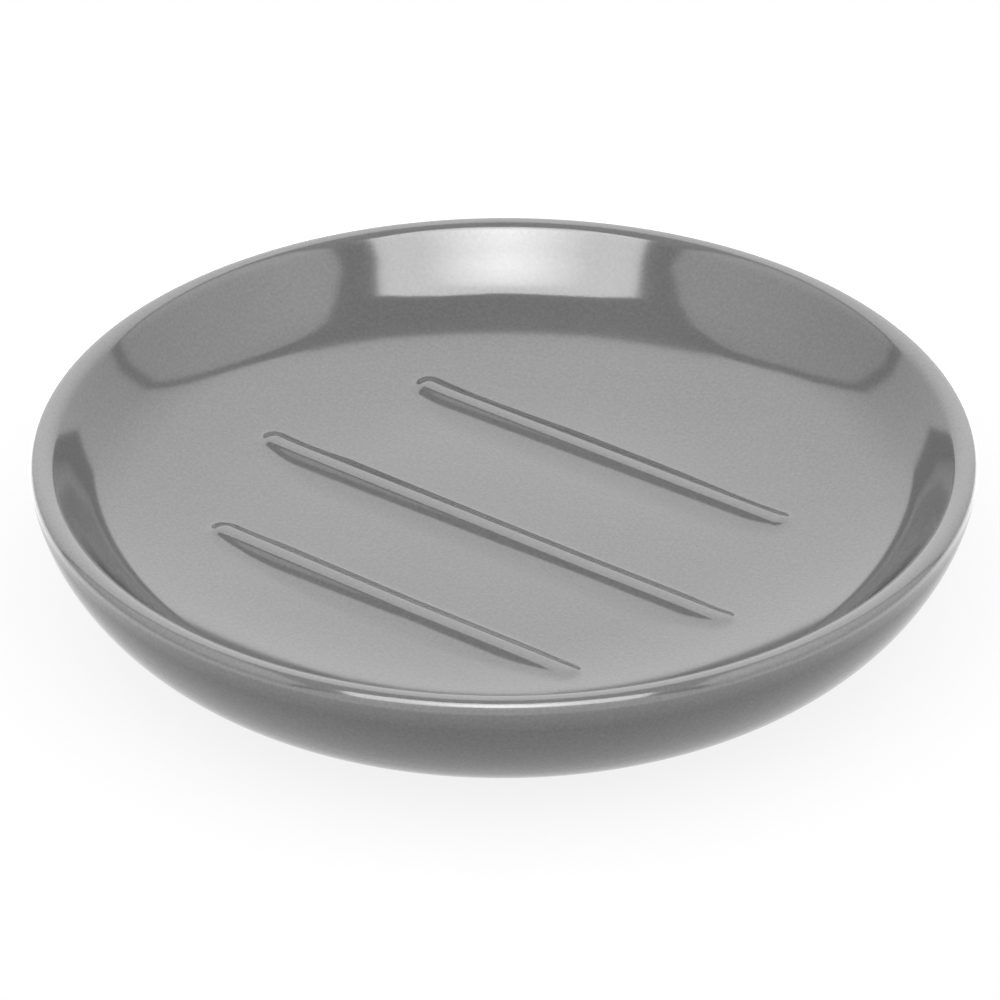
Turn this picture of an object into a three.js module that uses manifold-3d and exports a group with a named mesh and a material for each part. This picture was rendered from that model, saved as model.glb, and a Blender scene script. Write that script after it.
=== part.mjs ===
// Round soap dish: a glazed ceramic bowl with a rolled lip, three raised drainage ridges on its floor and a
// turned foot ring, standing on four self-adhesive rubber pads inside that ring.
// Millimetres, +Z up. The origin is on the table under the centre of the dish, and the ridges run along X.
import * as THREE from "three";
import { mergeVertices } from "three/addons/utils/BufferGeometryUtils.js";
import Module from "manifold-3d";

// Bowl
const RIM_DIAMETER = 110;
const BOWL_DEPTH = 12.4; // top of the lip down to the floor
const FLOOR_THICKNESS = 5.1;
const BOWL_RADIUS = 45; // shallow curve from the level floor
const WALL_RADIUS = 13; // tighter curve of the wall above it
const WALL_SLOPE = THREE.MathUtils.degToRad(52.5); // the steepest part, below the lip
const WALL_STRAIGHT = 5.1; // length of that steepest part
const LIP_INNER_RADIUS = 2;
const LIP_OUTER_RADIUS = 1.3;
const OUTER_WALL_LEAN = THREE.MathUtils.degToRad(6.6); // off the upright, below the lip
const OUTER_WALL_DROP = 7.7; // how far the outside holds that lean
const OUTER_WALL_SWEEP = 5.9; // how far the underside holds its level start outside the foot

// Foot ring
const FOOT_DIAMETER = 80;
const FOOT_WIDTH = 4.2;
const FOOT_HEIGHT = 1.25; // on the outside, below the level start of the wall
const FOOT_ROUND = 0.55;

// Drainage ridges
const RIDGE_COUNT = 3;
const RIDGE_PITCH = 20.4;
const RIDGE_HEIGHT = 1.4;
const RIDGE_LAND = 0.3; // flat stripe along the crest
const RIDGE_CROWN_RADIUS = 2.3;
const RIDGE_BACK_FILLET = 3;
const RIDGE_FRONT_FILLET = 9.5; // wider, where the glaze has run down and gathered
const MIDDLE_RIDGE_CREST = 63.9; // length of the level crest, without the rounded ends
const OUTER_RIDGE_CREST = 49.8;
const RIDGE_ROOT = 0.8; // depth below the floor to which a ridge and the bowl are one

// Pads
const PAD_COUNT = 4;
const PAD_DIAMETER = 10;
const PAD_HEIGHT = 2.25;
const PAD_ROUND = 0.5;
const PAD_PROUD = 1; // the gap that the pads hold between the foot ring and the table
const PAD_TO_RING = 2.5; // clearance between a pad and the inside of the foot ring
const TAPE_THICKNESS = 0.25;
const TAPE_INSET = 0.5; // how far the tape disc stays inside the pad's edge

// Facets
const BOWL_SIDES = 72;
const RIDGE_SIDES = 24;
const PAD_SIDES = 24;
const LONG_ARC_STEPS = 9;
const LIP_STEPS = 5;
const RIDGE_STEPS = 4;
const SMALL_ARC_STEPS = 3;
const TOUCH = 1e-4; // points closer than this are one

// Levels above the table
const UNDERSIDE_Z = PAD_HEIGHT + TAPE_THICKNESS;
const FLOOR_Z = UNDERSIDE_Z + FLOOR_THICKNESS;
const RIM_Z = FLOOR_Z + BOWL_DEPTH;
const RIM_RADIUS = RIM_DIAMETER / 2;
const LIP_TOP_RADIUS = RIM_RADIUS - LIP_OUTER_RADIUS;
const FOOT_RADIUS = FOOT_DIAMETER / 2;
const RECESS_RADIUS = FOOT_RADIUS - FOOT_WIDTH;

const UP = Math.PI / 2;
const DOWN = -Math.PI / 2;
const IN = Math.PI;
const OUT = 0;

const wasm = await Module();
wasm.setup();

// Arc of a profile, from one direction to another as seen from its centre; turn is 1 for anticlockwise.
function arc(centre, radius, from, to, turn, steps) {
  return new THREE.EllipseCurve(centre.x, centre.y, radius, radius, from, to, turn < 0).getPoints(steps);
}

// Body of revolution about Z of a profile of (radius, height) points, which runs from the axis on top, round
// the outside and back to the axis below. A lathe's faces point out where its profile runs upward.
function revolve(profile, sides) {
  const points = profile.filter((point, i) => i === 0 || point.distanceTo(profile[i - 1]) > TOUCH);
  return new THREE.LatheGeometry(points.reverse(), sides, Math.PI / sides).rotateX(UP);
}

// A closed solid for joining, with shared corners merged and collapsed triangles left out.
function solid(geometry) {
  const bare = geometry.clone();
  bare.deleteAttribute("normal");
  bare.deleteAttribute("uv");
  const merged = mergeVertices(bare, TOUCH);
  const corners = Array.from(merged.index.array);
  const triangles = [];
  for (let i = 0; i < corners.length; i += 3) {
    const [a, b, c] = corners.slice(i, i + 3);
    if (a !== b && b !== c && c !== a) triangles.push(a, b, c);
  }
  return new wasm.Manifold(
    new wasm.Mesh({
      numProp: 3,
      vertProperties: new Float32Array(merged.attributes.position.array),
      triVerts: new Uint32Array(triangles),
    }),
  );
}

// The geometry of a joined solid.
function geometryOf(joined) {
  const { vertProperties, triVerts } = joined.getMesh();
  const geometry = new THREE.BufferGeometry();
  geometry.setAttribute("position", new THREE.BufferAttribute(vertProperties, 3));
  geometry.setIndex(new THREE.BufferAttribute(triVerts, 1));
  geometry.computeVertexNormals();
  return geometry;
}

// Inside of the bowl and its lip: level floor, shallow curve, tighter curve, straight slope and rolled edge,
// each tangent to the next. The curves' centres are found from the lip downward.
function insideProfile() {
  const lipInner = new THREE.Vector2(LIP_TOP_RADIUS, RIM_Z - LIP_INNER_RADIUS);
  const lipOuter = new THREE.Vector2(LIP_TOP_RADIUS, RIM_Z - LIP_OUTER_RADIUS);
  const inward = new THREE.Vector2(-Math.sin(WALL_SLOPE), Math.cos(WALL_SLOPE));
  const downhill = new THREE.Vector2(-Math.cos(WALL_SLOPE), -Math.sin(WALL_SLOPE));
  const wall = lipInner
    .clone()
    .addScaledVector(inward, LIP_INNER_RADIUS + WALL_RADIUS)
    .addScaledVector(downhill, WALL_STRAIGHT);
  const bowlZ = FLOOR_Z + BOWL_RADIUS;
  const change = Math.acos((bowlZ - wall.y) / (BOWL_RADIUS - WALL_RADIUS));
  const bowl = new THREE.Vector2(wall.x - (BOWL_RADIUS - WALL_RADIUS) * Math.sin(change), bowlZ);
  return [
    new THREE.Vector2(0, FLOOR_Z),
    ...arc(bowl, BOWL_RADIUS, DOWN, DOWN + change, 1, LONG_ARC_STEPS),
    ...arc(wall, WALL_RADIUS, DOWN + change, DOWN + WALL_SLOPE, 1, LONG_ARC_STEPS),
    ...arc(lipInner, LIP_INNER_RADIUS, UP + WALL_SLOPE, UP, -1, LIP_STEPS),
    ...arc(lipOuter, LIP_OUTER_RADIUS, UP, OUT - OUTER_WALL_LEAN, -1, LIP_STEPS),
  ];
}

// Outside of the bowl: leaning in a little under the lip, then sweeping in until it is level above the foot
// ring.
function outsideProfile() {
  const outward = new THREE.Vector2(Math.cos(OUTER_WALL_LEAN), -Math.sin(OUTER_WALL_LEAN));
  const downhill = new THREE.Vector2(-Math.sin(OUTER_WALL_LEAN), -Math.cos(OUTER_WALL_LEAN));
  const lipOuter = new THREE.Vector2(LIP_TOP_RADIUS, RIM_Z - LIP_OUTER_RADIUS);
  const start = lipOuter.clone().addScaledVector(outward, LIP_OUTER_RADIUS);
  const end = new THREE.Vector2(FOOT_RADIUS + FOOT_ROUND, PAD_PROUD + FOOT_HEIGHT);
  const startHandle = start.clone().addScaledVector(downhill, OUTER_WALL_DROP);
  const endHandle = new THREE.Vector2(end.x + OUTER_WALL_SWEEP, end.y);
  return new THREE.CubicBezierCurve(start, startHandle, endHandle, end).getPoints(LONG_ARC_STEPS);
}

// Foot ring with rounded edges, and the level underside of the bowl inside it.
function footProfile() {
  const outer = Math.min(FOOT_ROUND, FOOT_HEIGHT / 2);
  const inner = Math.min(FOOT_ROUND, (UNDERSIDE_Z - PAD_PROUD) / 2);
  const corner = (r, z) => new THREE.Vector2(r, z);
  const wallZ = PAD_PROUD + FOOT_HEIGHT;
  return [
    ...arc(corner(FOOT_RADIUS + outer, wallZ - outer), outer, UP, IN, 1, SMALL_ARC_STEPS),
    ...arc(corner(FOOT_RADIUS - outer, PAD_PROUD + outer), outer, OUT, DOWN, -1, SMALL_ARC_STEPS),
    ...arc(corner(RECESS_RADIUS + inner, PAD_PROUD + inner), inner, DOWN, IN, -1, SMALL_ARC_STEPS),
    ...arc(corner(RECESS_RADIUS - inner, UNDERSIDE_Z - inner), inner, OUT, UP, 1, SMALL_ARC_STEPS),
    new THREE.Vector2(0, UNDERSIDE_Z),
  ];
}

// Half section of a ridge: a flat-topped crown that runs out onto the floor in a fillet tangent to both.
function ridgeProfile(filletRadius) {
  const span = RIDGE_CROWN_RADIUS + filletRadius;
  const crown = new THREE.Vector2(RIDGE_LAND / 2, FLOOR_Z + RIDGE_HEIGHT - RIDGE_CROWN_RADIUS);
  const steepest = Math.acos(1 - RIDGE_HEIGHT / span);
  const fillet = new THREE.Vector2(crown.x + span * Math.sin(steepest), FLOOR_Z + filletRadius);
  return [
    new THREE.Vector2(0, FLOOR_Z + RIDGE_HEIGHT),
    ...arc(crown, RIDGE_CROWN_RADIUS, UP, UP - steepest, -1, RIDGE_STEPS),
    ...arc(fillet, filletRadius, DOWN - steepest, DOWN, 1, RIDGE_STEPS),
    new THREE.Vector2(fillet.x, FLOOR_Z - RIDGE_ROOT),
    new THREE.Vector2(0, FLOOR_Z - RIDGE_ROOT),
  ];
}

// A ridge is a round button drawn out along X. Its section changes round the button from the steep fillet at
// the back to the wide one at the front.
function ridge(crest) {
  const button = revolve(ridgeProfile(RIDGE_BACK_FILLET), RIDGE_SIDES);
  const back = button.attributes.position;
  const front = revolve(ridgeProfile(RIDGE_FRONT_FILLET), RIDGE_SIDES).attributes.position;
  for (let i = 0; i < back.count; i += 1) {
    const point = new THREE.Vector3().fromBufferAttribute(back, i);
    const reach = Math.hypot(point.x, point.y);
    const share = reach > TOUCH ? (1 - point.y / reach) / 2 : 0;
    point.lerp(new THREE.Vector3().fromBufferAttribute(front, i), share);
    if (Math.abs(point.x) > TOUCH) point.x += (Math.sign(point.x) * crest) / 2;
    back.setXYZ(i, point.x, point.y, point.z);
  }
  return button;
}

function dishBody() {
  const profile = [...insideProfile(), ...outsideProfile(), ...footProfile()];
  let body = solid(revolve(profile, BOWL_SIDES));
  for (let i = 0; i < RIDGE_COUNT; i += 1) {
    const row = i - (RIDGE_COUNT - 1) / 2;
    const crest = row === 0 ? MIDDLE_RIDGE_CREST : OUTER_RIDGE_CREST;
    body = body.add(solid(ridge(crest).translate(0, row * RIDGE_PITCH, 0)));
  }
  return geometryOf(body);
}

// Flat-bottomed rubber pad with a rounded lower edge, standing on the table.
function padBody() {
  const radius = PAD_DIAMETER / 2;
  const edge = new THREE.Vector2(radius - PAD_ROUND, PAD_ROUND);
  return revolve(
    [
      new THREE.Vector2(0, PAD_HEIGHT),
      new THREE.Vector2(radius, PAD_HEIGHT),
      ...arc(edge, PAD_ROUND, OUT, DOWN, -1, SMALL_ARC_STEPS),
      new THREE.Vector2(0, 0),
    ],
    PAD_SIDES,
  );
}

// Disc of double-sided tape between a pad and the underside of the bowl.
function tapeBody() {
  const radius = PAD_DIAMETER / 2 - TAPE_INSET;
  return revolve(
    [
      new THREE.Vector2(0, UNDERSIDE_Z),
      new THREE.Vector2(radius, UNDERSIDE_Z),
      new THREE.Vector2(radius, PAD_HEIGHT),
      new THREE.Vector2(0, PAD_HEIGHT),
    ],
    PAD_SIDES,
  );
}

const glaze = new THREE.MeshStandardMaterial({ color: 0x8c8c8c, roughness: 0.08, metalness: 0 });
const rubber = new THREE.MeshStandardMaterial({ color: 0xd9d9d4, roughness: 0.6, metalness: 0 });
const adhesive = new THREE.MeshStandardMaterial({ color: 0xe8e6de, roughness: 0.4, metalness: 0 });

function named(name, geometry, material) {
  const mesh = new THREE.Mesh(geometry, material);
  mesh.name = name;
  return mesh;
}

const soapDish = new THREE.Group();
soapDish.add(named("dish_body", dishBody(), glaze));

const padCircle = RECESS_RADIUS - PAD_TO_RING - PAD_DIAMETER / 2;
for (let i = 0; i < PAD_COUNT; i += 1) {
  const angle = ((i + 0.5) * 2 * Math.PI) / PAD_COUNT;
  const spot = new THREE.Group();
  spot.position.set(padCircle * Math.cos(angle), padCircle * Math.sin(angle), 0);
  spot.add(named(`foot_pad_${i + 1}`, padBody(), rubber));
  spot.add(named(`pad_tape_${i + 1}`, tapeBody(), adhesive));
  soapDish.add(spot);
}

export default soapDish;
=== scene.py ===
import bpy
import numpy as np
from mathutils import Matrix, Vector, geometry


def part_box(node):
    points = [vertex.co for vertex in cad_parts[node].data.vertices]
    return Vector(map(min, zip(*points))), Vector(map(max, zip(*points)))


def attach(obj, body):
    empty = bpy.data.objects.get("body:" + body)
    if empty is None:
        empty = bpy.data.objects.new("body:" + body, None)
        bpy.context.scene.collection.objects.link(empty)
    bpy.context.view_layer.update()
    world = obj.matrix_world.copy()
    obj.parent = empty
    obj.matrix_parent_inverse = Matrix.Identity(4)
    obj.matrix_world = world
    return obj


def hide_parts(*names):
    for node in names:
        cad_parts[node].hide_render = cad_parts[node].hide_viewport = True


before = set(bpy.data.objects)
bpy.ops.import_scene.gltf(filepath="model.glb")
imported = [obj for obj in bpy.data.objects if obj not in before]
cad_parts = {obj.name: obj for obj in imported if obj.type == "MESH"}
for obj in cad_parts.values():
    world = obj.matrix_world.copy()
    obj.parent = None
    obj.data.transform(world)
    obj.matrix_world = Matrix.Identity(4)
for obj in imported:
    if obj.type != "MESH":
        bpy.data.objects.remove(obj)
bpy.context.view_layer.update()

# The dish. One slip-cast ceramic piece: a round bowl with a rolled lip, three drainage ridges moulded into
# its floor and a low foot ring. It is dipped in a glossy, finely grained grey glaze, which runs thin over
# the lip. The standing face of the foot ring is wiped bare before firing.
MM = 0.001
RIM_RADIUS = 55 * MM
RIM_Z = 20 * MM
FLOOR_Z = 7.6 * MM
BOWL_RADIUS = 54 * MM
WALL_RADIUS = 12 * MM
WALL_SLOPES = 46.8, 53.6, 51.3
WALL_RUNS = 2.5 * MM, 1.54 * MM
LIP_INNER_RADIUS = 2.0 * MM
LIP_OUTER_RADIUS = 1.3 * MM
OUTER_WALL_LEAN = 6.6
OUTER_WALL_DROP = 7.7 * MM
OUTER_WALL_SWEEP = 5.9 * MM
FOOT_RADIUS = 40 * MM
FOOT_WIDTH = 4.2 * MM
FOOT_Z = 1.0 * MM
FOOT_HEIGHT = 1.25 * MM
FOOT_ROUND = 0.55 * MM
UNDERSIDE_Z = 2.5 * MM
BOWL_SIDES = 320

# Each ridge: its place across the dish, start and end of its crest, and where it has sunk to its low end.
RIDGES = np.array([
    (20.4, -26.5, 24.9, 30),
    (-1.0, -33.5, 31.7, 12),
    (-20.4, -25.4, 23.9, 2),
]) * MM
RIDGE_HEIGHTS = 1.4 * MM, 1.0 * MM
RIDGE_LAND = 0.3 * MM
RIDGE_CROWN_RADIUS = 2.3 * MM
RIDGE_BACK_FILLET = 3 * MM
RIDGE_FRONT_FILLET = 9.5 * MM
FLOOR_EDGE = 38.5 * MM
FLOOR_GRAIN = 1.0 * MM


def slope(degrees):
    """Unit vectors of a slope that rises outward: along it, and square to it on the upper, inner side."""
    a = np.radians(degrees)
    return np.array([np.cos(a), np.sin(a)]), np.array([-np.sin(a), np.cos(a)])


def arc(centre, radius, start, end, steps):
    """Points centre + radius (cos a, sin a), with a in even steps from start to end, in degrees."""
    a = np.radians(np.linspace(start, end, steps + 1))
    return np.array(centre) + radius * np.stack([np.cos(a), np.sin(a)], 1)


def bezier(corners, steps):
    """Cubic curve through the first and last of four corners, steered by the two between them."""
    t = np.linspace(0, 1, steps + 1)[:, None]
    a, b, c, d = np.array(corners)
    return (1 - t) ** 3 * a + 3 * (1 - t) ** 2 * t * b + 3 * (1 - t) * t**2 * c + t**3 * d


def revolve(profile, sides):
    """Grid point (i, j) is profile point i, (r, z), turned by angle j: (r cos a, r sin a, z)."""
    a = np.linspace(0, 2 * np.pi, sides, endpoint=False)
    r, z = profile[:, :1], profile[:, 1:]
    return np.stack([r * np.cos(a), r * np.sin(a), z + 0 * a], -1)


def band(rows, columns):
    """Quads between the rows of a grid whose columns close on themselves; rows run outward from the top."""
    i, j = np.meshgrid(np.arange(rows - 1), np.arange(columns), indexing="ij")
    k = (j + 1) % columns
    corners = [i * columns + j, (i + 1) * columns + j, (i + 1) * columns + k, i * columns + k]
    return np.stack(corners, -1).reshape(-1, 4)


def weld(patches):
    """Joins (points, faces) patches, taking points that lie together as one."""
    points = np.concatenate([p.reshape(-1, 3) for p, _ in patches])
    starts = np.cumsum([0] + [p.size // 3 for p, _ in patches])
    _, first, same = np.unique(np.round(points, 8), axis=0, return_index=True, return_inverse=True)
    same = same.reshape(-1)
    faces = [face for (_, f), start in zip(patches, starts) for face in same[f + start].tolist()]
    return points[first], [list(dict.fromkeys(face)) for face in faces]


def make_piece(name, patches, material):
    """A smooth-shaded mesh object of welded patches."""
    points, faces = weld(patches)
    mesh = bpy.data.meshes.new(name)
    mesh.from_pydata(points, [], faces)
    mesh.shade_smooth()
    mesh.materials.append(material)
    piece = bpy.data.objects.new(name, mesh)
    bpy.context.scene.collection.objects.link(piece)
    return piece


def wall_curves():
    """Curves of the upper wall from the lip down, each as centre, signed radius, slope below and above."""
    low, steep, high = WALL_SLOPES
    lip = np.array([RIM_RADIUS - LIP_OUTER_RADIUS, RIM_Z - LIP_INNER_RADIUS])
    end = lip + LIP_INNER_RADIUS * slope(high)[1]
    curves = []
    for run, below, above in ((WALL_RUNS[1], steep, high), (WALL_RUNS[0], low, steep)):
        radius = run / (np.sin(np.radians(above)) - np.sin(np.radians(below)))
        centre = end + radius * slope(above)[1]
        curves.append((centre, radius, below, above))
        end = centre - radius * slope(below)[1]
    return curves


def bowl_curves():
    """Centres of the shallow curve and of the wall above it, and the slope in degrees where they meet."""
    centre, radius, low, _ = wall_curves()[1]
    wall = centre + (WALL_RADIUS - radius) * slope(low)[1]
    gap = BOWL_RADIUS - WALL_RADIUS
    change = np.degrees(np.arccos((FLOOR_Z + BOWL_RADIUS - wall[1]) / gap))
    return wall + gap * slope(change)[1], wall, change


def bowl_profile():
    """(r, z) from the floor's edge up the wall, over the lip, down the outside and round the foot."""
    bowl, wall, change = bowl_curves()
    (upper, bulge, steep, high), (lower, hollow, low, _) = wall_curves()
    edge = np.degrees(np.arcsin((FLOOR_EDGE - bowl[0]) / BOWL_RADIUS))
    top = RIM_RADIUS - LIP_OUTER_RADIUS
    out, down = slope(-OUTER_WALL_LEAN)
    start = np.array([top, RIM_Z - LIP_OUTER_RADIUS]) + LIP_OUTER_RADIUS * out
    end = np.array([FOOT_RADIUS + FOOT_ROUND, FOOT_Z + FOOT_HEIGHT])
    inner = FOOT_RADIUS - FOOT_WIDTH
    runs = [
        arc(bowl, BOWL_RADIUS, edge - 90, change - 90, 16),
        arc(wall, WALL_RADIUS, change - 90, low - 90, 24)[1:],
        arc(lower, hollow, low - 90, steep - 90, 10)[1:],
        arc(upper, bulge, steep - 90, high - 90, 10)[1:],
        arc([top, RIM_Z - LIP_INNER_RADIUS], LIP_INNER_RADIUS, 90 + high, 90, 20)[1:],
        arc([top, RIM_Z - LIP_OUTER_RADIUS], LIP_OUTER_RADIUS, 90, -OUTER_WALL_LEAN, 24)[1:],
        bezier([start, start - OUTER_WALL_DROP * down, end + [OUTER_WALL_SWEEP, 0], end], 36)[1:],
        arc(end - [0, FOOT_ROUND], FOOT_ROUND, 90, 180, 6)[1:],
        arc([FOOT_RADIUS - FOOT_ROUND, FOOT_Z + FOOT_ROUND], FOOT_ROUND, 0, -90, 6),
        arc([inner + FOOT_ROUND, FOOT_Z + FOOT_ROUND], FOOT_ROUND, -90, -180, 6),
        arc([inner - FOOT_ROUND, UNDERSIDE_Z - FOOT_ROUND], FOOT_ROUND, 0, 90, 6),
    ]
    return np.concatenate(runs)


def ridge_section(fillet, height):
    """(half width, height) of a ridge: flat crest, round crown and a fillet of that radius onto the floor.

    Crown and fillet meet where both slope by a, with 1 - cos a = height / (crown + fillet).
    """
    span = RIDGE_CROWN_RADIUS + fillet
    steepest = np.degrees(np.arccos(1 - height / span))
    foot = RIDGE_LAND / 2 + span * np.sin(np.radians(steepest))
    runs = [
        [[0, height]],
        arc([RIDGE_LAND / 2, height - RIDGE_CROWN_RADIUS], RIDGE_CROWN_RADIUS, 90, 90 - steepest, 14),
        arc([foot, fillet], fillet, -90 - steepest, -90, 16)[1:],
    ]
    return np.concatenate(runs)


def facing(sine, x, start, fade):
    """Section of a ridge on a side whose direction has that sine: back fillet at 1, front fillet at -1.

    It is highest at the start of the crest and sinks evenly to its low height at the place fade along X.
    """
    sunk = np.clip((x - start) / (fade - start), 0, 1)[..., None, None]
    back = (1 + sine)[..., None, None] / 2
    full, low = (
        ridge_section(RIDGE_BACK_FILLET, height) * back
        + ridge_section(RIDGE_FRONT_FILLET, height) * (1 - back)
        for height in RIDGE_HEIGHTS
    )
    return full * (1 - sunk) + low * sunk


def ridge_points(aside, start, end, fade):
    """Points (x, y, height) of a ridge: its section carried round a line along X with rounded ends."""
    along = np.linspace(start, end, 66)[1:-1]
    turn = np.radians(np.linspace(-90, 90, 33))
    centre = np.concatenate([np.full(33, end), along[::-1], np.full(33, start), along])
    out = np.concatenate([turn, np.full(64, np.pi / 2), turn + np.pi, np.full(64, -np.pi / 2)])
    w, h = np.moveaxis(facing(np.sin(out), centre, start, fade), 2, 0)
    x = centre[:, None] + w * np.cos(out)[:, None]
    y = aside + w * np.sin(out)[:, None]
    return np.stack([x, y, h], -1).reshape(-1, 3)


def open_floor():
    """Points (x, y, 0) of an even triangular grid, on the parts of the floor between the ridges."""
    steps = np.arange(-FLOOR_EDGE, FLOOR_EDGE, FLOOR_GRAIN)
    x, y = np.meshgrid(steps, steps)
    x = x + FLOOR_GRAIN / 2 * (np.arange(len(steps)) % 2)[:, None]
    free = np.full(x.shape, True)
    for aside, start, end, fade in RIDGES:
        along = np.clip(x, start, end)
        away = np.maximum(np.hypot(x - along, y - aside), 1e-9)
        reach = facing((y - aside) / away, along, start, fade)[..., -1, 0]
        free &= away > reach + 0.4 * FLOOR_GRAIN
    return np.stack([x[free], y[free], 0 * x[free]], 1)


def floor_patch(edge):
    """The inside within the circle edge. Height over the floor is the cube root of bowl^3 + ridge^3."""
    points = np.concatenate([open_floor()] + [ridge_points(*ridge) for ridge in RIDGES])
    points = points[np.unique(np.round(points[:, :2], 7), axis=0, return_index=True)[1]]
    points = points[np.hypot(points[:, 0], points[:, 1]) < FLOOR_EDGE - 0.6 * FLOOR_GRAIN]
    x, y, ridge = points.T
    run = np.maximum(np.hypot(x, y) - bowl_curves()[0][0], 0)
    rise = BOWL_RADIUS - np.sqrt(BOWL_RADIUS**2 - run**2)
    points = np.concatenate([edge, np.stack([x, y, FLOOR_Z + np.cbrt(rise**3 + ridge**3)], 1)])
    ring = np.arange(len(edge))
    ties = np.stack([ring, np.roll(ring, -1)], 1).tolist()
    flat = [Vector(point) for point in points[:, :2] / MM]
    return points, np.array(geometry.delaunay_2d_cdt(flat, ties, [], 1, 1e-6)[2])


class Shade:
    """A value in a node tree. Sums, differences and products of values add Math nodes."""

    def __init__(self, tree, socket=None):
        self.tree = tree
        self.socket = socket

    def node(self, kind, settings=None, sockets=None, out=0):
        """Adds a node of a kind: its settings first, then the values or links of its sockets."""
        made = self.tree.nodes.new(kind)
        for name, value in (settings or {}).items():
            setattr(made, name, value)
        for name, value in (sockets or {}).items():
            if isinstance(value, Shade):
                self.tree.links.new(value.socket, made.inputs[name])
            else:
                made.inputs[name].default_value = value
        return Shade(self.tree, made.outputs[out])

    def math(self, operation, *values):
        return self.node("ShaderNodeMath", {"operation": operation}, dict(enumerate(values)))

    def __add__(self, other):
        return self.math("ADD", self, other)

    def __sub__(self, other):
        return self.math("SUBTRACT", self, other)

    def __mul__(self, other):
        return self.math("MULTIPLY", self, other)

    def __rsub__(self, other):
        return self.math("SUBTRACT", other, self)

    __radd__ = __add__
    __rmul__ = __mul__

    def between(self, low, high):
        """0 below low, 1 above high and a smooth step from one to the other."""
        sockets = {"Value": self, "From Min": low, "From Max": high}
        return self.node("ShaderNodeMapRange", {"interpolation_type": "SMOOTHSTEP"}, sockets)

    def noise(self, place, scale, detail=2.0, roughness=0.5):
        """Value noise about 0, with features of 1 / scale metres."""
        sockets = {"Vector": place, "Scale": scale, "Detail": detail, "Roughness": roughness}
        return self.node("ShaderNodeTexNoise", None, sockets) - 0.5

    def tint(self, factor, first, second):
        """Colour mix, from first at 0 to second at 1."""
        sockets = {0: factor, 6: first, 7: second}
        return self.node("ShaderNodeMix", {"data_type": "RGBA"}, sockets, 2)


def new_material(name):
    """An empty material as (material, tree as a Shade, its output node)."""
    material = bpy.data.materials.new(name)
    material.use_nodes = True
    material.node_tree.nodes.clear()
    tree = Shade(material.node_tree)
    return material, tree, material.node_tree.nodes.new("ShaderNodeOutputMaterial")


def glaze_material():
    """Finely speckled grey glaze, lighter on the lip, with bare biscuit where the foot ring stands."""
    GLAZE = (0.094, 0.094, 0.094, 1)
    GLAZE_THIN = (0.214, 0.214, 0.214, 1)
    BISCUIT = (0.60, 0.585, 0.55, 1)
    GLAZE_ROUGHNESS = 0.1
    BISCUIT_ROUGHNESS = 0.8
    SPECKLES, CLOUDS, GRIT, WAVES = 2600, 60, 2500, 220
    material, tree, output = new_material("grey_glaze")
    place = tree.node("ShaderNodeTexCoord", out="Object")
    z = tree.node("ShaderNodeSeparateXYZ", None, {0: place}, "Z")
    speckle = tree.noise(place, SPECKLES, 3)
    cloud = tree.noise(place, CLOUDS, 3)
    lip = z.between(RIM_Z - LIP_OUTER_RADIUS, RIM_Z)
    thin = 0.5 + lip * 0.45 + speckle * 0.75 + cloud * 0.2
    bare = 1 - z.between(FOOT_Z + 0.1 * MM, FOOT_Z + 0.25 * MM)
    colour = tree.tint(bare, tree.tint(thin, GLAZE, GLAZE_THIN), BISCUIT)
    height = tree.noise(place, GRIT, 4, 0.7) * bare * 0.05 + tree.noise(place, WAVES, 1) * (1 - bare) * 0.01
    bump = tree.node("ShaderNodeBump", None, {"Strength": 0.3, "Distance": 0.001, "Height": height})
    shader = tree.node("ShaderNodeBsdfPrincipled", None, {
        "Base Color": colour,
        "Roughness": GLAZE_ROUGHNESS + bare * (BISCUIT_ROUGHNESS - GLAZE_ROUGHNESS) + cloud * 0.03,
        "IOR": 1.5,
        "Normal": bump,
    })
    material.node_tree.links.new(shader.socket, output.inputs["Surface"])
    return material


bowl = revolve(bowl_profile(), BOWL_SIDES)
patches = [
    floor_patch(bowl[0]),
    (bowl, band(*bowl.shape[:2])),
    (bowl[-1], np.arange(BOWL_SIDES)[None, ::-1]),
]
dish = make_piece("soap_dish", patches, glaze_material())
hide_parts("dish_body")
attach(dish, "root")

# The pads. Four pale grey rubber discs, moulded with a rounded lower edge and a fine matt texture, each
# stuck to the underside of the bowl with a disc of double-sided tape.
PAD_RADIUS = 5 * MM
PAD_HEIGHT = 2.25 * MM
PAD_ROUND = 0.5 * MM
PAD_TOP_ROUND = 0.15 * MM
PAD_SIDES = 96


def rubber_material():
    """Pale grey rubber with a fine matt grain and a cloudy film of dust."""
    RUBBER = (0.50, 0.50, 0.49, 1)
    DUSTY = (0.66, 0.66, 0.64, 1)
    material, tree, output = new_material("pad_rubber")
    place = tree.node("ShaderNodeTexCoord", out="Object")
    grain = tree.noise(place, 4000, 3, 0.6)
    dust = tree.noise(place, 700, 4, 0.6)
    colour = tree.tint(dust + 0.5, RUBBER, DUSTY)
    bump = tree.node("ShaderNodeBump", None, {"Strength": 0.2, "Distance": 0.0002, "Height": grain})
    sockets = {"Base Color": colour, "Roughness": 0.6 + dust * 0.3, "IOR": 1.45, "Normal": bump}
    shader = tree.node("ShaderNodeBsdfPrincipled", None, sockets)
    material.node_tree.links.new(shader.socket, output.inputs["Surface"])
    return material


def pad_profile():
    """(r, z) from the middle of the top out to the rim, round the lower edge and in to the middle below."""
    return np.concatenate([
        [[0, PAD_HEIGHT]],
        arc([PAD_RADIUS - PAD_TOP_ROUND, PAD_HEIGHT - PAD_TOP_ROUND], PAD_TOP_ROUND, 90, 0, 4),
        arc([PAD_RADIUS - PAD_ROUND, PAD_ROUND], PAD_ROUND, 0, -90, 10),
        [[0, 0]],
    ])


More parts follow.
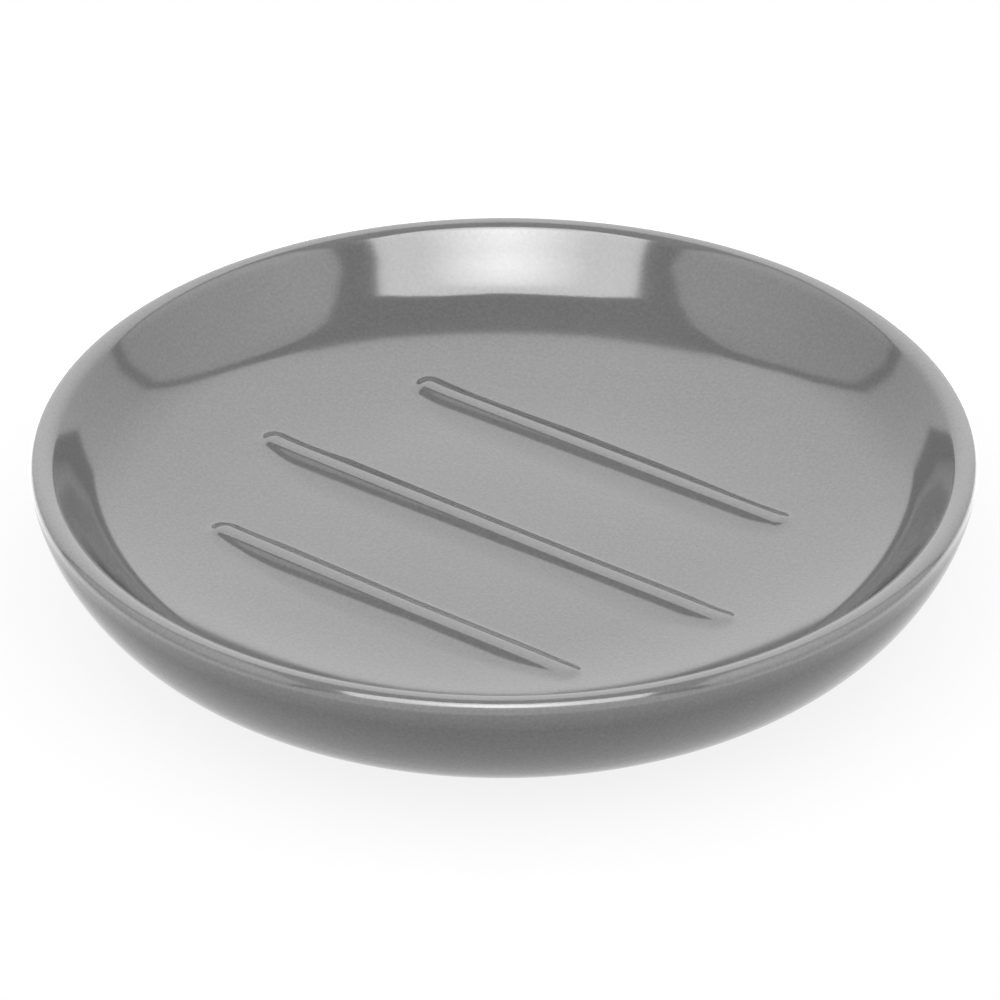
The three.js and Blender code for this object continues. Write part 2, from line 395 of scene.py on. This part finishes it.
rubber = rubber_material()
for name in sorted(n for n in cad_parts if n.startswith("foot_pad")):
    low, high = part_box(name)
    middle = np.array((low + high) / 2) * [1, 1, 0]
    disc = revolve(pad_profile(), PAD_SIDES)
    pad = make_piece(name + "_rubber", [(disc + middle, band(*disc.shape[:2]))], rubber)
    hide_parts(name)
    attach(pad, "root")

# The tape. Thin die-cut discs of cloudy double-sided tape between the pads and the ceramic. The solids have
# the shape of the real discs, which show from no side, so only their material is changed.
TAPE = (0.72, 0.71, 0.66, 1)
TAPE_CLOUDY = (0.84, 0.83, 0.78, 1)
tape, tree, output = new_material("pad_tape")
place = tree.node("ShaderNodeTexCoord", out="Object")
cloudy = tree.tint(tree.noise(place, 900, 4) + 0.5, TAPE, TAPE_CLOUDY)
shader = tree.node("ShaderNodeBsdfPrincipled", None, {"Base Color": cloudy, "Roughness": 0.45})
tape.node_tree.links.new(shader.socket, output.inputs["Surface"])
for name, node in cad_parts.items():
    if name.startswith("pad_tape"):
        node.data.materials.clear()
        node.data.materials.append(tape)

# The studio: a pale table, a soft light overhead, and white panels round the dish that its glaze reflects.
# Directions are azimuth and elevation in degrees, seen from the dish, with azimuth 0 at the camera.
CAMERA_AZIMUTH = 36.88
CAMERA_ELEVATION = 31.63
CAMERA_ROLL = -0.20
CAMERA_DISTANCE = 0.65
CAMERA_AIM = Vector((-0.45, -3.5, -5.8)) * MM + Vector((0, 0, RIM_Z))
LENS = 201.6
PANEL_DISTANCE = 4.0
# Each panel: its lower and its upper edge from side to side. None is a level edge below the upper one.
PANELS = {
    "softbox": (
        [(-36, 28), (-31, 29.2), (-20, 31.5), (0, 33.3), (18, 31.8), (28, 29.5), (32, 28)],
        [(-52, 58), (-45.5, 66.5), (-32, 71), (0, 72.5), (32, 71), (42, 65.5), (47.5, 57.5)],
    ),
    "front": (
        [(-47, 0), (45, 0)],
        [(-37, 27), (33, 27)],
    ),
    "left": (
        [(-47, 0), (-58, 0), (-72, 0), (-87, 0), (-102, 0), (-115, 0), (-115.3, 20), (-117, 36.7),
         (-120, 45.1), (-123, 51.2), (-128.5, 56)],
        [(-50, 40), (-57, 46.2), (-68, 54.5), (-83, 61), (-97, 63.5), (-106, 63.6), (-112, 63.3),
         (-118, 62.8), (-124, 61.9), (-129, 60.8), (-132, 59.2)],
    ),
    "right": (
        [(45, 0), (56, 0), (70, 0), (85, 0), (100, 0), (113, 0), (113.3, 20), (115.5, 35),
         (119, 46.2), (122, 52.1), (124.5, 56)],
        [(48, 40.6), (55, 47.4), (66, 56), (82, 62.8), (96, 65.2), (106, 65), (112, 64.6),
         (117, 63.9), (121.5, 62.6), (124.5, 61), (126, 58.8)],
    ),
    "back": (
        None,
        [(116.5, 15), (118, 29), (122, 40.2), (127, 47.7), (131.5, 52.6), (138, 56.1), (145, 58.5),
         (151, 60.3), (155, 63.4), (159, 65), (165, 66.2), (172, 67.2), (180, 67.5), (188, 67),
         (195, 66), (200, 64.2), (204, 62.3), (208, 59.6), (213, 56.5), (219, 54.7), (227, 51.9),
         (232, 46.7), (237, 39.2), (240, 29), (241, 14.2)],
    ),
}
# Light of each panel: strength, share of it at its dim end, its brightest direction, and the distances from
# there in metres at which it starts to fall and has fallen.
GLOW = {
    "softbox": (19.5, 0.52, (-1, 50), 0.15, 1.2),
    "front": (3.4, 1.0, (0, 10), 0, 1),
    "left": (3.2, 0.5, (-50, 45), 1.0, 4.5),
    "right": (3.65, 0.52, (48, 45), 1.0, 4.5),
    "back": (4.1, 0.42, (180, 90), 2.1, 5.6),
}


def direction(azimuth, elevation):
    """Unit vector from the dish, with azimuth 0 at the camera and growing to its right."""
    a, e = np.radians(azimuth + CAMERA_AZIMUTH), np.radians(elevation)
    return np.array([np.sin(a) * np.cos(e), -np.cos(a) * np.cos(e), np.sin(e)])


def stage_mesh(name, points, faces, material):
    """A piece of the studio."""
    mesh = bpy.data.meshes.new(name)
    mesh.from_pydata(points, [], faces)
    mesh.materials.append(material)
    piece = bpy.data.objects.new(name, mesh)
    bpy.context.scene.collection.objects.link(piece)
    return piece


def glowing(name, strength, dim, heart, near, far):
    """Light of that strength up to the distance near from its heart, falling to dim times that at far."""
    material, tree, output = new_material(name)
    place = tree.node("ShaderNodeTexCoord", out="Object")
    sockets = {0: place, 1: heart}
    away = tree.node("ShaderNodeVectorMath", {"operation": "DISTANCE"}, sockets, "Value")
    fade = tree.node("ShaderNodeMapRange", None, {"Value": away, "From Min": near, "From Max": far})
    colour = tree.tint(fade, (1, 1, 1, 1), (dim, dim, dim, 1))
    light = tree.node("ShaderNodeEmission", None, {"Color": colour, "Strength": strength})
    material.node_tree.links.new(light.socket, output.inputs["Surface"])
    return material


def reflected_only(piece):
    """Shows a piece of the studio to the glaze alone."""
    piece.visible_camera = piece.visible_diffuse = piece.visible_shadow = False


for name, (lower, upper) in PANELS.items():
    strength, dim, heart, near, far = GLOW[name]
    light = glowing("panel_" + name, strength, dim, direction(*heart) * PANEL_DISTANCE, near, far)
    lower = lower or [(azimuth, 0) for azimuth, _ in upper]
    edges = np.array([[direction(*c) for c in lower], [direction(*c) for c in upper]])
    strip = np.arange(len(lower) - 1)[:, None] + [0, 1, len(lower) + 1, len(lower)]
    panel = stage_mesh("panel_" + name, edges.reshape(-1, 3) * PANEL_DISTANCE, strip.tolist(), light)
    reflected_only(panel)

# A glowing card lies on the table round the dish and shows in the outer wall. It is a light seen only in
# reflections. Its glow is painted dimmer over its inner part next to the dish, as a painted shadow of the
# dish on the table.
CARD_INNER = 62 * MM
CARD_OUTER = 900 * MM
CARD_Z = 0.1 * MM
CARD_STRENGTH = 3.65
# Painted shadow: the share of the glow left at the card's inner edge, and the distance out to which the
# glow is painted dimmer.
CARD_SHADOW_SHARE = 0.3
CARD_SHADOW_END = 85 * MM
CARD_SIDES = 96
ring = revolve(np.array([[CARD_INNER, CARD_Z], [CARD_OUTER, CARD_Z]]), CARD_SIDES)
card = glowing("glowing_table_card", CARD_STRENGTH, CARD_SHADOW_SHARE, (0, 0, 0), CARD_SHADOW_END, CARD_INNER)
reflected_only(stage_mesh("glowing_table_card", ring.reshape(-1, 3), band(2, CARD_SIDES).tolist(), card))

# The table is matt white. Where the camera or the glaze sees it, it is lifted towards the white background.
TABLE_HALF = 5.0
TABLE_WHITE = (0.8, 0.8, 0.8, 1)
TABLE_SEEN = (0.16, 0.16, 0.16, 1)
TABLE_LIFT = (0.86, 0.86, 0.86, 1)
table, tree, output = new_material("table")
camera_ray = tree.node("ShaderNodeLightPath", out="Is Camera Ray")
glossy_ray = tree.node("ShaderNodeLightPath", out="Is Glossy Ray")
seen = camera_ray + glossy_ray
matt = tree.node("ShaderNodeBsdfDiffuse", None, {"Color": tree.tint(seen, TABLE_WHITE, TABLE_SEEN)})
lift = tree.node("ShaderNodeEmission", None, {"Color": tree.tint(seen, (0, 0, 0, 1), TABLE_LIFT)})
both = tree.node("ShaderNodeAddShader", None, {0: matt, 1: lift})
table.node_tree.links.new(both.socket, output.inputs["Surface"])
corners = [(sx * TABLE_HALF, sy * TABLE_HALF, 0) for sx, sy in ((-1, -1), (1, -1), (1, 1), (-1, 1))]
stage_mesh("table", corners, [range(4)], table)

LAMP_DISTANCE = 1.2
lamp = bpy.data.lights.new("overhead", "AREA")
lamp.shape = "SQUARE"
lamp.size = 1.6
lamp.energy = 13.0
overhead = bpy.data.objects.new("overhead", lamp)
above = Vector(direction(0, 72))
facing_dish = above.to_track_quat("Z", "Y").to_matrix().to_4x4()
overhead.matrix_world = Matrix.Translation(above * LAMP_DISTANCE) @ facing_dish
overhead.visible_glossy = False
bpy.context.scene.collection.objects.link(overhead)

# The room round the table: white to the camera, dimmer as a light and in reflections.
ROOM_LIGHT = 0.45
ROOM_REFLECTED = 0.75
world = bpy.data.worlds.new("studio")
bpy.context.scene.world = world
world.use_nodes = True
world.node_tree.nodes.clear()
tree = Shade(world.node_tree)
camera_ray = tree.node("ShaderNodeLightPath", out="Is Camera Ray")
glossy_ray = tree.node("ShaderNodeLightPath", out="Is Glossy Ray")
dimmed = ROOM_LIGHT + glossy_ray * (ROOM_REFLECTED - ROOM_LIGHT)
strength = camera_ray + (1 - camera_ray) * dimmed
sky = tree.node("ShaderNodeBackground", None, {"Strength": strength})
output = world.node_tree.nodes.new("ShaderNodeOutputWorld")
world.node_tree.links.new(sky.socket, output.inputs["Surface"])

# The camera stands where the photograph was taken from.
lens = bpy.data.cameras.new("camera")
lens.lens = LENS
camera = bpy.data.objects.new("camera", lens)
back = Vector(direction(0, CAMERA_ELEVATION))
turn = Matrix.Rotation(np.radians(CAMERA_AZIMUTH), 4, "Z")
aim = turn @ CAMERA_AIM
camera.matrix_world = (
    Matrix.Translation(aim + back * CAMERA_DISTANCE)
    @ back.to_track_quat("Z", "Y").to_matrix().to_4x4()
    @ Matrix.Rotation(np.radians(CAMERA_ROLL), 4, "Z")
)
bpy.context.scene.collection.objects.link(camera)
bpy.context.scene.camera = camera
bpy.context.scene.view_settings.view_transform = "Standard"
